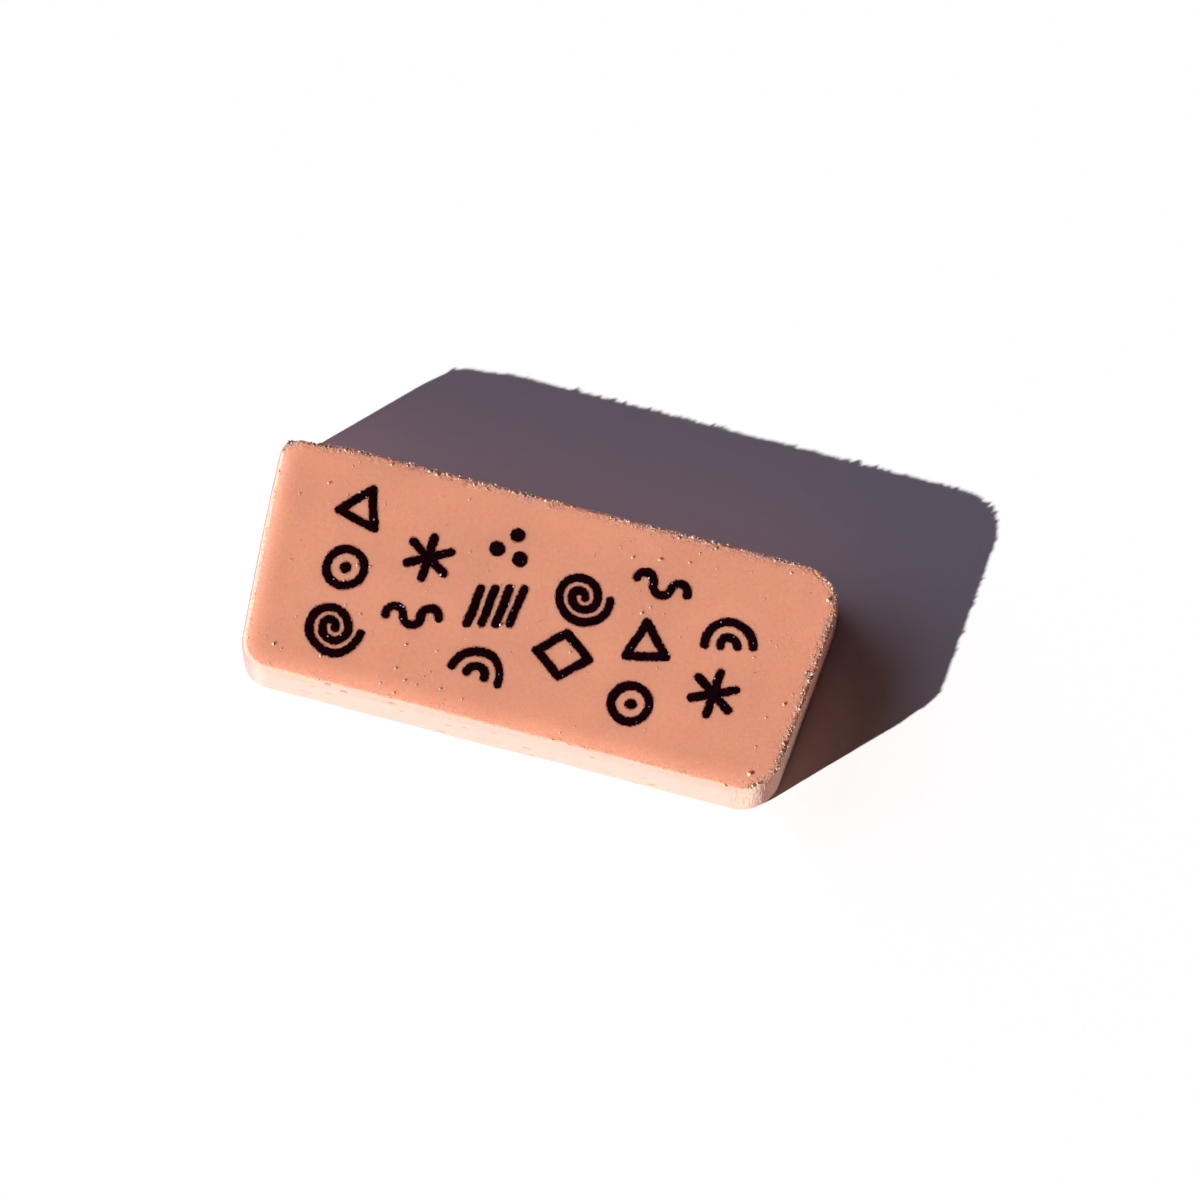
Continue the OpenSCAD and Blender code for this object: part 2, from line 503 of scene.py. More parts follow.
class SkinSpot:
    """A place on the smooth block, with how far it belongs to a rim, a side or an end."""

    def __init__(self, settings, plan, vert):
        depth, self.out = plan.edge(vert.co)
        self.point = vert.co / MM
        self.depth = depth / MM
        self.up = vert.normal.z
        self.top_rim = top_rim_share(settings, depth, vert.co.z)
        self.worn = worn_share(self.point)
        self.fuzz = 0.35 * noise.noise(self.point * 3.3) + 0.5 * noise.noise(self.point * 8.3)
        rimward = smooth_step(1.6, 0.4, self.depth)
        self.side = 1 - smooth_step(0.35, 0.9, abs(self.up) + self.fuzz * rimward)
        self.near_side = self.side * smooth_step(-0.5, -0.9, self.out.y)
        self.end = self.side * smooth_step(0.7, 0.97, abs(self.out.x))


def hollow_depth(spot, found_hollows):
    """How deep the deepest dent or crease is at a place."""
    if spot.near_side <= 0.2 and spot.point.z <= HOLLOWS_FROM_Z:
        return 0.0
    ragged = 1 + 0.5 * noise.noise(spot.point * 3.1)
    return max(
        depth * smooth_step(1.5, 0.3, distance_to(spot.point, start, end) / half_w * ragged)
        for start, end, half_w, depth in found_hollows)


# What the wear leaves on the mesh for the finish of the rubber, and where that finish paints light
# and shade
SHARES = ("rim_wear", "side_share", "end_share", "lit_edge_highlight", "end_darkening_and_shade_share", "pale_corner_and_bounce_share", "hollow")


def finish_shares(spot, sunk):
    """One value for each of the shares, most of them from 0 to 1."""
    _, y, z = spot.point
    out = spot.out
    # Painted highlight: pale speckle only along the edges that face the key light.
    inward = smooth_step(LIT_EDGE_HIGHLIGHT_REACH, 0.0, spot.depth)
    lit = max(-out.x, -0.25 * out.y, 0.0)
    lit_edge_highlight = lit * inward * smooth_step(8, 9, z) * (1.2 + spot.fuzz)
    right = smooth_step(0.7, 0.95, out.x)
    # Darker on the left end wall. On the right wall, painted shade that deepens towards the far
    # end, where less light comes up from the lit floor.
    left_end = smooth_step(0.45, 0.95, spot.side) * smooth_step(-0.15, -0.75, out.x)
    far_right = spot.side * right * smooth_step(-2, 9, y)
    # Paler on the near right corner. On the right wall, painted light that grows towards the near
    # end, where the lit floor throws light up.
    corner = smooth_step(0.05, 0.5, out.x) * smooth_step(0.82, 0.62, out.x)
    pale_corner_and_bounce_share = max(corner * smooth_step(-8.0, -9.5, y), 0.45 * right * smooth_step(2, -6, y))
    return (spot.top_rim * spot.worn, spot.side, spot.end, lit_edge_highlight, max(left_end, far_right),
            spot.side * pale_corner_and_bounce_share, sunk / DENT_DEPTH)


def ripple(point):
    """The faint unevenness of every face."""
    return RIPPLE * noise.noise(point * 0.6)


def soft_move(settings, spot):
    """How far the soft block swells, rounds off at its lit edges and bulges at its ends."""
    x, y, z = spot.point
    swell = noise.noise(spot.point * 0.12 + Vector((3, 1, 7))) * settings.waviness / MM
    lit = max(0.0, -spot.out.x, -spot.out.y)
    rounded = (1 - min(1.0, spot.depth / PILLOW_REACH)) ** 2 * smooth_step(7, 9, z)
    bulge = spot.end * max(0.0, 1 - (y / 10) ** 2) * (1 if x < 0 else 0.3)
    return spot.side * swell + ripple(spot.point) - PILLOW * lit * rounded + END_BULGE * bulge


def rough_move(settings, spot):
    """How far pits and a lip on the rim, ridges on one corner and scores move the skin."""
    x, y, z = spot.point
    coarse = noise.noise(spot.point * 2.3)
    fine = noise.noise(spot.point * 5.0)
    pits = (0.4 * coarse + 0.9 * fine - 0.2) * settings.crumbling / MM
    crisp = spot.top_rim * smooth_step(0.6, 0.95, spot.worn)
    up = max(0.0, spot.up)
    lip = LIP * (1 + fine) * crisp * 4 * up ** 2 * (1 - up ** 2)
    on_corner = spot.side * smooth_step(22.5, 25, x) * smooth_step(-8, -10, y)
    ridges = RIDGE * noise.noise(Vector((x * 7.5, y * 7.5, z * 0.6))) * on_corner
    scores = (SCORE * noise.noise(Vector((x * 0.05, 4.0, z * 1.5)))
              + FINE_SCORE * noise.noise(Vector((x * 0.08, 9.0, z * 3.4))))
    scores *= spot.near_side * smooth_step(-14, 2, x)
    return spot.top_rim * spot.worn * pits + lip + ridges + scores


def worn_push(settings, spot, sunk):
    """How far a place moves along its normal. The open top and the base never swell outwards."""
    if spot.up < -0.5:
        return -abs(ripple(spot.point))
    push = soft_move(settings, spot) + rough_move(settings, spot) - sunk
    open_top = spot.up > 0.98 and spot.top_rim * spot.worn < 0.01
    return min(push, 0.0) if open_top else push


def shape_worn_block(bm, settings, plan):
    """Moves the skin as its wear says, and leaves what the finish reads as attributes."""
    found_hollows = hollows()
    spots = [SkinSpot(settings, plan, vert) for vert in bm.verts]
    depths = [hollow_depth(spot, found_hollows) for spot in spots]
    layers = [bm.verts.layers.float.new(name) for name in SHARES]
    for vert, spot, sunk in zip(bm.verts, spots, depths):
        for layer, share in zip(layers, finish_shares(spot, sunk)):
            vert[layer] = share
        push = worn_push(settings, spot, sunk)
        vert.co += (vert.normal * push - Vector((0, far_edge_sag(spot.point), 0))) * MM
        vert.co.z = max(vert.co.z, 0.0)


# Materials


def new_material(name):
    """A material of one shader, and that shader."""
    material = bpy.data.materials.new(name)
    material.use_nodes = True
    nodes = material.node_tree.nodes
    nodes.clear()
    output = nodes.new("ShaderNodeOutputMaterial")
    shader = nodes.new("ShaderNodeBsdfPrincipled")
    material.node_tree.links.new(shader.outputs["BSDF"], output.inputs["Surface"])
    return material, shader


class Nodes:
    """Short ways to add the nodes that the finishes share."""

    def __init__(self, owner):
        self.tree = owner.node_tree
        self.coords = self.tree.nodes.new("ShaderNodeTexCoord").outputs["Object"]

    def link(self, value, socket):
        """Feeds a socket from another one or from a plain value."""
        if isinstance(value, bpy.types.NodeSocket):
            self.tree.links.new(value, socket)
        else:
            socket.default_value = value

    def noise(self, size, detail=2.0, stretch=(1, 1, 1), roughness=0.5):
        """Noise whose patches are about that many metres across."""
        mapping = self.tree.nodes.new("ShaderNodeMapping")
        mapping.inputs["Scale"].default_value = [1 / (size * s) for s in stretch]
        self.link(self.coords, mapping.inputs["Vector"])
        texture = self.tree.nodes.new("ShaderNodeTexNoise")
        texture.inputs["Scale"].default_value = 1
        texture.inputs["Detail"].default_value = detail
        texture.inputs["Roughness"].default_value = roughness
        self.link(mapping.outputs["Vector"], texture.inputs["Vector"])
        return texture.outputs["Fac"]

    def attribute(self, name):
        """The share that the wear has left on the mesh under that name."""
        attribute = self.tree.nodes.new("ShaderNodeAttribute")
        attribute.attribute_name = name
        return attribute.outputs["Fac"]

    def ranged(self, value, low, high, to_low=0.0, to_high=1.0):
        """Maps one range of values onto another and stays inside it."""
        node = self.tree.nodes.new("ShaderNodeMapRange")
        node.clamp = True
        self.link(value, node.inputs["Value"])
        node.inputs["From Min"].default_value = low
        node.inputs["From Max"].default_value = high
        node.inputs["To Min"].default_value = to_low
        node.inputs["To Max"].default_value = to_high
        return node.outputs["Result"]

    def maths(self, operation, first, second):
        """One value made from two by the operation named."""
        node = self.tree.nodes.new("ShaderNodeMath")
        node.operation = operation
        self.link(first, node.inputs[0])
        self.link(second, node.inputs[1])
        return node.outputs["Value"]

    def mixed(self, share, first, second):
        """One colour giving way to another as a share goes from 0 to 1."""
        node = self.tree.nodes.new("ShaderNodeMix")
        node.data_type = "RGBA"
        self.link(share, node.inputs["Factor"])
        for value, socket in ((first, node.inputs["A"]), (second, node.inputs["B"])):
            if not isinstance(value, bpy.types.NodeSocket):
                value = (*value, 1.0)
            self.link(value, socket)
        return node.outputs["Result"]

    def bump(self, height, depth, normal=None):
        """Relief from a height that stands for that many metres, over other relief if given."""
        node = self.tree.nodes.new("ShaderNodeBump")
        node.inputs["Strength"].default_value = 1.0
        node.inputs["Distance"].default_value = depth
        self.link(height, node.inputs["Height"])
        if normal is not None:
            self.link(normal, node.inputs["Normal"])
        return node.outputs["Normal"]


def soften(shader, reach):
    """Lets light seep through the rubber, so that small shadows glow."""
    shader.inputs["Specular IOR Level"].default_value = 0.05
    shader.inputs["Subsurface Weight"].default_value = 1.0
    shader.inputs["Subsurface Radius"].default_value = (1.0, 0.70, 0.30)
    shader.inputs["Subsurface Scale"].default_value = reach


def toned(colour, factor):
    """A colour made paler or darker by a factor."""
    return tuple(min(1.0, c * factor) for c in colour)


def mottled_rubber(nodes, settings, mottle):
    """The smooth rubber: cloudy in large patches, with faint pale and deep mottles."""
    darker = toned(settings.rubber_colour, 0.96)
    paler = toned(settings.rubber_colour, 1.04)
    cloud = nodes.noise(9 * MM, detail=2)
    colour = nodes.mixed(nodes.ranged(cloud, 0.35, 0.65), darker, paler)
    colour = nodes.mixed(nodes.ranged(mottle, 0.50, 0.75, 0.0, 0.22), colour,
                         settings.pale_dust_and_highlight_colour)
    return nodes.mixed(nodes.ranged(mottle, 0.48, 0.25, 0.0, 0.14), colour,
                       settings.deep_tone_and_shade_colour)


def rubbed_walls(nodes, settings, colour, streaks):
    """Paler walls, streaked along the near side and upright on the ends, darker on the left end,
    with painted shade on the far part of the right wall and painted light on its near part.
    """
    along, upright = streaks
    near_pale = nodes.ranged(along, 0.38, 0.62, 0.45, 0.85)
    end_pale = nodes.ranged(upright, 0.3, 0.7, 0.22, 0.42)
    at_end = nodes.maths("MULTIPLY", nodes.attribute("end_share"),
                         nodes.maths("SUBTRACT", end_pale, near_pale))
    pale = nodes.maths("ADD", near_pale, at_end)
    pale_side = nodes.maths("MULTIPLY", nodes.attribute("side_share"), pale)
    colour = nodes.mixed(pale_side, colour, settings.wall_colour)
    # Darker left end, and painted shade on the far part of the right wall
    colour = nodes.mixed(nodes.attribute("end_darkening_and_shade_share"), colour, settings.darker_end_and_shade_colour)
    # Paler near right corner, and painted light on the near part of the right wall
    pale_corner_and_bounce_share = nodes.ranged(nodes.attribute("pale_corner_and_bounce_share"), 0.0, 1.0, 0.0, 0.8)
    return nodes.mixed(pale_corner_and_bounce_share, colour, settings.pale_corner_and_bounce_light_colour)


def crumbly_rims(nodes, settings, colour):
    """Pale dust and painted shade in the gaps on the worn rims, a painted highlight along the lit
    edges, and painted shade in the dents.
    """
    dust_tone_and_highlight = settings.pale_dust_and_highlight_colour
    painted_shade = settings.deep_tone_and_shade_colour
    wear = nodes.attribute("rim_wear")
    speckle = nodes.noise(0.2 * MM, detail=2, roughness=0.8)
    # Painted highlight of pale speckle along the lit edges
    highlight_speckle = nodes.maths("MULTIPLY", nodes.attribute("lit_edge_highlight"),
                        nodes.ranged(speckle, 0.32, 0.54, 0.4, 1.0))
    colour = nodes.mixed(highlight_speckle, colour, dust_tone_and_highlight)
    pale_grains = nodes.maths("MULTIPLY", wear, nodes.ranged(speckle, 0.52, 0.66, 0.0, 0.5))
    colour = nodes.mixed(pale_grains, colour, dust_tone_and_highlight)
    off_the_walls = nodes.maths("SUBTRACT", 1.0, nodes.attribute("side_share"))
    # Painted shade in the gaps between the grains of the worn rims
    gap_shade = nodes.maths("MULTIPLY", wear, nodes.ranged(speckle, 0.50, 0.36, 0.0, 0.55))
    colour = nodes.mixed(nodes.maths("MULTIPLY", gap_shade, off_the_walls), colour, painted_shade)
    # Painted shade in the dents and creases
    hollow = nodes.ranged(nodes.attribute("hollow"), 0.2, 1.0, 0.0, 0.7)
    return nodes.mixed(hollow, colour, painted_shade)


def rubber_relief(nodes, streaks):
    """Fine grain, rougher on the worn rims and the walls, and the streaks of the walls."""
    along, upright = streaks
    side = nodes.attribute("side_share")
    end = nodes.attribute("end_share")
    rubbed = nodes.maths("ADD", nodes.attribute("rim_wear"), nodes.maths("MULTIPLY", side, 0.5))
    rough = nodes.maths("ADD", 0.6, rubbed)
    grain = nodes.maths("MULTIPLY", nodes.noise(0.14 * MM, detail=4, roughness=0.75), rough)
    on_ends = nodes.maths("MULTIPLY", end, upright)
    on_sides = nodes.maths("MULTIPLY", nodes.maths("SUBTRACT", 1.0, end), along)
    streak = nodes.maths("MULTIPLY", side, nodes.maths("ADD", on_ends, on_sides))
    return nodes.bump(streak, 0.05 * MM, normal=nodes.bump(grain, 0.04 * MM))


def rubber_material(settings):
    """Matt pink rubber: faintly mottled, paler on its sides, crumbly on its rims, with painted
    light and shade on its walls, along its lit edges, in its gaps and in its dents.
    """
    material, shader = new_material("pink_rubber_matt")
    nodes = Nodes(material)
    mottle = nodes.noise(0.45 * MM, detail=4, roughness=0.7)
    streaks = (nodes.noise(0.4 * MM, detail=3, stretch=(16, 16, 1)),
               nodes.noise(0.4 * MM, detail=3, stretch=(1, 1, 14)))
    colour = mottled_rubber(nodes, settings, mottle)
    colour = rubbed_walls(nodes, settings, colour, streaks)
    colour = crumbly_rims(nodes, settings, colour)
    nodes.link(colour, shader.inputs["Base Color"])
    nodes.link(nodes.ranged(mottle, 0.3, 0.7, 0.72, 0.88), shader.inputs["Roughness"])
    soften(shader, 0.95 * MM)
    nodes.link(rubber_relief(nodes, streaks), shader.inputs["Normal"])
    return material


# Colour of the palest crumbs
PALE_CRUMB = (0.90, 0.59, 0.45)


def crumb_material(settings):
    """Rubbed-off grains of the same rubber, each in its own tone."""
    material, shader = new_material("rubber_crumbs")
    nodes = Nodes(material)
    tone = nodes.attribute("tone")
    rubber = settings.rubber_colour
    colour = nodes.mixed(nodes.ranged(tone, 0.0, 0.4), settings.deep_tone_and_shade_colour, rubber)
    colour = nodes.mixed(nodes.ranged(tone, 0.4, 1.0), colour, PALE_CRUMB)
    grain = nodes.noise(0.08 * MM, detail=2)
    colour = nodes.mixed(nodes.ranged(grain, 0.4, 0.8, 0.0, 0.3), colour, rubber)
    nodes.link(colour, shader.inputs["Base Color"])
    nodes.link(nodes.ranged(grain, 0.3, 0.7, 0.70, 0.9), shader.inputs["Roughness"])
    soften(shader, 0.8 * MM)
    nodes.link(nodes.bump(grain, 0.01 * MM), shader.inputs["Normal"])
    return material


def fringe_material(settings):
    """Rubber stained brown by the ink that has soaked into it."""
    material, shader = new_material("ink_fringe")
    nodes = Nodes(material)
    stain = settings.fringe_colour
    patch = nodes.noise(0.15 * MM, detail=3)
    nodes.link(nodes.mixed(nodes.ranged(patch, 0.4, 0.7), stain, toned(stain, 1.8)),
               shader.inputs["Base Color"])
    shader.inputs["Roughness"].default_value = 0.85
    shader.inputs["Specular IOR Level"].default_value = 0.1
    return material


def ink_material(settings, rubber):
    """Matt black ink with a few specks of bare rubber."""
    material, shader = new_material("black_ink_matt")
    nodes = Nodes(material)
    ink = settings.ink_colour
    browner = (ink[0] * 2.0, ink[1] * 1.6, ink[2] * 1.7)
    patch = nodes.noise(0.8 * MM, detail=3)
    colour = nodes.mixed(nodes.ranged(patch, 0.4, 0.7), ink, browner)
    bare = nodes.noise(0.10 * MM, detail=2, roughness=0.8)
    colour = nodes.mixed(nodes.ranged(bare, 0.76, 0.82, 0.0, 0.8), colour, rubber)
    nodes.link(colour, shader.inputs["Base Color"])
    nodes.link(nodes.ranged(patch, 0.3, 0.7, 0.65, 0.85), shader.inputs["Roughness"])
    shader.inputs["Specular IOR Level"].default_value = 0.0
    grain = nodes.noise(0.12 * MM, detail=3)
    nodes.link(nodes.bump(grain, 0.006 * MM), shader.inputs["Normal"])
    return material


def is_seen(nodes):
    """1 for what the camera sees itself, also by reflection, and 0 for light thrown on."""
    rays = nodes.tree.nodes.new("ShaderNodeLightPath").outputs
    direct_or_glossy = nodes.maths("MAXIMUM", rays["Is Camera Ray"], rays["Is Glossy Ray"])
    return nodes.maths("MAXIMUM", direct_or_glossy, rays["Is Transmission Ray"])


def floor_material(settings):
    """Smooth pale card."""
    material, shader = new_material("pale_card")
    nodes = Nodes(material)
    seen = nodes.mixed(is_seen(nodes), settings.floor_glow, settings.floor_colour)
    fibre = nodes.noise(1.5 * MM, detail=3)
    nodes.link(nodes.mixed(nodes.ranged(fibre, 0.3, 0.7, 0.0, 0.03), seen, (0.8, 0.8, 0.8)),
               shader.inputs["Base Color"])
    shader.inputs["Roughness"].default_value = 0.9
    shader.inputs["Specular IOR Level"].default_value = 0.0
    return material


# Pieces


class ERASER_OT_rubber_block(bpy.types.Operator):
    """Model the worn rubber block in place of the plain one"""

    bl_idname = "eraser.rubber_block"
    bl_label = "Rubber block"

    def execute(self, context):
        settings = context.scene.eraser_block
        plan = BlockPlan(settings)
        bm = block_shell(settings, plan)
        shape_worn_block(bm, settings, plan)
        piece = finished("rubber_block", bm, [rubber_material(settings)])
        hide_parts("eraser_block")
        return {"FINISHED"}


# Crumbs that stand out, from left to right: place in plan and radius of the pale spot, in mm
LONE_CRUMBS = (
    (-27.8, -9.7, 0.10), (-27.3, -11.6, 0.10), (-27.0, 12.0, 0.12),
    (-25.6, 12.2, 0.10), (-25.1, -9.7, 0.18), (-24.2, -10.0, 0.10), (-24.1, 8.2, 0.16),
    (-22.2, 10.6, 0.12), (-21.6, 11.2, 0.10), (-20.9, -1.5, 0.08), (-20.8, 8.1, 0.15),
    (-20.1, -9.7, 0.16), (-13.4, -10.9, 0.14), (-12.3, -9.0, 0.15), (-11.8, -11.5, 0.15),
    (-11.1, -10.0, 0.16), (-7.4, 12.4, 0.20), (-7.3, -9.9, 0.15), (-4.1, -7.1, 0.08),
    (-4.1, 12.4, 0.17), (6.7, 9.4, 0.09), (7.5, 10.1, 0.10), (8.2, 8.6, 0.15),
    (8.3, 12.1, 0.10), (9.3, 11.4, 0.10), (11.0, 9.1, 0.20), (12.7, 2.8, 0.09),
    (14.8, 10.8, 0.12), (15.9, 11.5, 0.10), (16.9, 9.7, 0.12), (18.9, 12.3, 0.16),
    (22.1, 4.9, 0.10), (23.4, 0.0, 0.09), (24.4, 11.2, 0.14), (24.4, 12.2, 0.14),
    (24.9, 3.3, 0.10), (25.1, 12.2, 0.10), (25.5, -7.5, 0.12), (25.6, -10.4, 0.30),
    (27.2, -2.4, 0.20), (28.0, 11.5, 0.20), (28.4, 11.2, 0.17), (28.8, 9.4, 0.25),
    (29.2, 9.2, 0.13),
)
# Crumbs at least this large are a little deeper in tone than the others
LARGE_CRUMB_R = 0.19
# A crumb's own radius, as a share of the pale spot that is listed
CRUMB_IN_SPOT = 0.8
# Grains made in one go: a long list is slower to add to
HANDFUL = 60
# How far the skin of a grain swells and sinks, as a share of its radius
LUMPINESS = 0.6


class GrainKind(NamedTuple):
    """One kind of grain on the top rim: how often, how far in, how large and how pale."""

    tries: int
    chance: float
    # Mean and spread, in mm in from the outline
    depth: tuple
    # In radii of a middling grain, and how much it varies
    size: float
    spread: float
    # Palest at 1
    tone: tuple
    flat: float = 1.0
    sink: float = 0.3
    detail: int = 1


GRAIN = GrainKind(6, 0.36, (0.1, 0.45), 1.0, 0.3, (0.4, 0.8), sink=0.1)
LUMP = GrainKind(1, 0.45, (0.26, 0.26), 2.1, 0.28, (0.45, 0.7), flat=0.85, sink=0.25, detail=2)
BEAD = GrainKind(2, 0.6, (0.15, 0.25), 1.4, 0.35, (0.5, 0.85), sink=0.45)
# Size of a single speck, in radii of a middling grain
SPECK_SIZE = 1.3


class Surface:
    """Finds the worn skin of the block from a place in its outline."""

    def __init__(self, settings, plan, block):
        self.rim_r = settings.rim_r
        self.plan = plan
        bm = bmesh.new()
        bm.from_mesh(block.data)
        self.skin = BVHTree.FromBMesh(bm)
        bm.free()

    def under(self, point, outward):
        """The point of the skin straight in from a point of the smooth block."""
        start = point + outward * MM
        hit = self.skin.ray_cast(start, -outward)[0]
        return hit or point

    def on_top(self, x, y):
        """Point on the top face or its rim above a place, and the way straight out there."""
        depth, out = self.plan.edge(Vector((x, y, 0)))
        reach = min(1.0, max(0.0, 1 - depth / self.rim_r))
        rise = math.sqrt(1 - reach * reach)
        outward = out * reach + Vector((0, 0, rise))
        point = Vector((x, y, TOP_Z - self.rim_r * (1 - rise)))
        return self.under(point, outward), outward


class Grain:
    """One grain: where it sits, how large and pale it is, and how finely it is drawn."""

    def __init__(self, draw, place, outward, radius, tone, flat=1.0, sink=0.3, detail=1):
        self.radius = radius
        self.tone = tone
        self.detail = detail
        turn = Matrix.Rotation(draw.uniform(0, math.tau), 4, "Z")
        upright = outward.to_track_quat("Z", "Y").to_matrix().to_4x4()
        stretch = Matrix.Diagonal((draw.uniform(0.9, 1.35), draw.uniform(0.75, 1.0), flat, 1))
        middle = place + outward * radius * sink
        self.matrix = Matrix.Translation(middle) @ upright @ turn @ stretch
        self.middle = middle


def heap_of(grains):
    """One mesh of many grains."""
    whole = bmesh.new()
    whole.verts.layers.float.new("tone")
    for start in range(0, len(grains), HANDFUL):
        handful = bmesh.new()
        tone_layer = handful.verts.layers.float.new("tone")
        for grain in grains[start:start + HANDFUL]:
            made = bmesh.ops.create_icosphere(
                handful, subdivisions=grain.detail, radius=grain.radius, matrix=grain.matrix)
            for vert in made["verts"]:
                lumpy = 1 + LUMPINESS * noise.noise(vert.co / grain.radius * 1.1)
                vert.co = grain.middle + (vert.co - grain.middle) * lumpy
                vert[tone_layer] = grain.tone
        mesh = bpy.data.meshes.new("handful")
        handful.to_mesh(mesh)
        handful.free()
        whole.from_mesh(mesh)
        bpy.data.meshes.remove(mesh)
    return whole


def rim_grains(settings, surface, draw):
    """Grains, larger lumps and beads that cling to the top rim, in patches."""
    grains = []
    for edge_point, out in surface.plan.outline(settings.grain_step):
        point = edge_point / MM
        patch = 0.5 + 0.9 * noise.noise(point * 0.45 + Vector((5, 2, 8)))
        worn = worn_share(point)
        grainy = worn * min(1.2, max(0.25, patch + 0.25))
        lumpy = lump_share(point) * min(1.2, max(0.1, patch))
        beaded = min(1.0, 0.25 + 2.2 * lump_share(point))
        beaded *= smooth_step(0.5, 0.9, worn) * min(1.0, max(0.2, patch))
        for kind, share in ((GRAIN, grainy), (LUMP, lumpy), (BEAD, beaded)):
            for _ in range(kind.tries):
                if draw.random() < kind.chance * share:
                    depth = abs(draw.gauss(*kind.depth)) * MM
                    place, outward = surface.on_top(*(edge_point - out * depth).xy)
                    radius = kind.size * settings.grain_r * draw.lognormvariate(0, kind.spread)
                    grains.append(Grain(draw, place, outward, radius, draw.uniform(*kind.tone),
                                        kind.flat, kind.sink, kind.detail))
    return grains


def specks(settings, surface, draw):
    """Single specks scattered over the top face and the walls."""
    grains = []
    while len(grains) < settings.speck_count:
        x = draw.uniform(BLOCK_LOW.x, BLOCK_HIGH.x)
        y = draw.uniform(BLOCK_LOW.y, BLOCK_HIGH.y)
        depth, _ = surface.plan.edge(Vector((x, y, 0)))
        if depth > surface.rim_r:
            place, outward = surface.on_top(x, y)
            radius = SPECK_SIZE * settings.grain_r * draw.lognormvariate(0, GRAIN.spread)
            grains.append(Grain(draw, place, outward, radius, 1.0))
    for edge_point, out in surface.plan.outline(10 * settings.grain_step):
        for _ in range(2):
            height = draw.uniform(surface.rim_r, TOP_Z - surface.rim_r)
            place = surface.under(edge_point + Vector((0, 0, height)), out)
            grains.append(Grain(draw, place, out, settings.grain_r, draw.uniform(0.5, 1.0)))
    return grains


class ERASER_OT_rubber_crumbs(bpy.types.Operator):
    """Scatter rubbed-off crumbs, grains and specks on the block"""

    bl_idname = "eraser.rubber_crumbs"
    bl_label = "Rubber crumbs"

    def execute(self, context):
        block_settings = context.scene.eraser_block
        settings = context.scene.eraser_crumbs
        block = bpy.data.objects.get("rubber_block")
        if block is None:
            raise RuntimeError("Model the rubber block before its crumbs")
        draw = random.Random(settings.seed)
        surface = Surface(block_settings, BlockPlan(block_settings), block)
        grains = rim_grains(settings, surface, draw) + specks(settings, surface, draw)
        for x, y, spot_r in LONE_CRUMBS:
            place, outward = surface.on_top(x * MM, y * MM)
            tone = 0.8 if spot_r < LARGE_CRUMB_R else 0.65
            grains.append(Grain(draw, place, outward, CRUMB_IN_SPOT * spot_r * MM, tone,
                                LUMP.flat, LUMP.sink, detail=3))
        piece = finished("rubber_crumbs", heap_of(grains), [crumb_material(block_settings)])
        return {"FINISHED"}


# Distance between the points of a mark's outline, and the most cuts that one edge takes
INK_PITCH = 0.08 * MM
MOST_CUTS = 59
# How far both layers of ink reach down into the rubber
INK_ROOT = 0.05 * MM


def printed_faces():
    """The upper faces of the printed marks, with an outline that is fine enough to stray."""
    bm = bmesh.new()
    bm.from_mesh(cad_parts["ink_print"].data)
    bmesh.ops.remove_doubles(bm, verts=bm.verts, dist=MM / 1000)
    lower = [face for face in bm.faces if face.normal.z < 0.5]
    bmesh.ops.delete(bm, geom=lower, context="FACES")
    for cuts in range(1, MOST_CUTS + 1):
        edges = [edge for edge in bm.edges
                 if edge.is_boundary and int(edge.calc_length() / INK_PITCH) == cuts]
        if edges:
            bmesh.ops.subdivide_edges(bm, edges=edges, cuts=cuts)
    bmesh.ops.triangulate(bm, faces=[face for face in bm.faces if len(face.verts) > 3])
    return bm


def ways_out(bm):
    """The way out of a flat mesh at each point of its outline."""
    outward = {}
    for edge in bm.edges:
        if edge.is_boundary:
            loop = edge.link_loops[0]
            run = loop.link_loop_next.vert.co - loop.vert.co
            out = Vector((run.y, -run.x, 0)).normalized()
            for vert in edge.verts:
                outward[vert] = outward.get(vert, Vector()) + out
    return {vert: out.normalized() for vert, out in outward.items()}


def ink_layer(settings, height, spread, shift):
    """One layer of the printed marks as an unsteady hand draws them: every layer strays alike,
    and its shift gives it a rough edge of its own."""
    bm = printed_faces()
    outward = ways_out(bm)
    for vert in bm.verts:
        point = vert.co / MM
        across = noise.noise(point * 0.45 + Vector((2, 6, 1)))
        along = noise.noise(point * 0.45 + Vector((9, 4, 5)))
        move = Vector((across, along, 0)) * settings.hand_wobble
        if vert in outward:
            rough = noise.noise(point * 5 + shift) + 0.6 * noise.noise(point * 11 + shift)
            move += outward[vert] * (spread + rough * settings.edge_bleed)
        vert.co += move
        vert.co.z = TOP_Z + height
    sunk = bmesh.ops.extrude_face_region(bm, geom=bm.faces[:])["geom"]
    bmesh.ops.translate(bm, vec=(0, 0, -height - INK_ROOT),
                        verts=[part for part in sunk if isinstance(part, bmesh.types.BMVert)])
    bmesh.ops.recalc_face_normals(bm, faces=bm.faces)
    return bm


class ERASER_OT_ink_marks(bpy.types.Operator):
    """Redraw the printed marks with a hand's wobble and the fringe that they soaked in"""

    bl_idname = "eraser.ink_marks"
    bl_label = "Ink marks"

    def execute(self, context):
        settings = context.scene.eraser_ink
        rubber = context.scene.eraser_block.rubber_colour
        black = ink_layer(settings, settings.ink_height, 0.0, Vector((0, 0, 0)))
        piece = finished("ink_marks", black, [ink_material(settings, rubber)], smooth=False)
        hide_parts("ink_print")
        soaked = ink_layer(settings, settings.ink_height / 2, settings.fringe_width,
                           Vector((4, 7, 1)))
        piece = finished("ink_fringe", soaked, [fringe_material(settings)], smooth=False)
        return {"FINISHED"}


# Half the width of the floor, and how far the camera sees, in metres
FLOOR_HALF = 1.5
CAMERA_REACH = 10


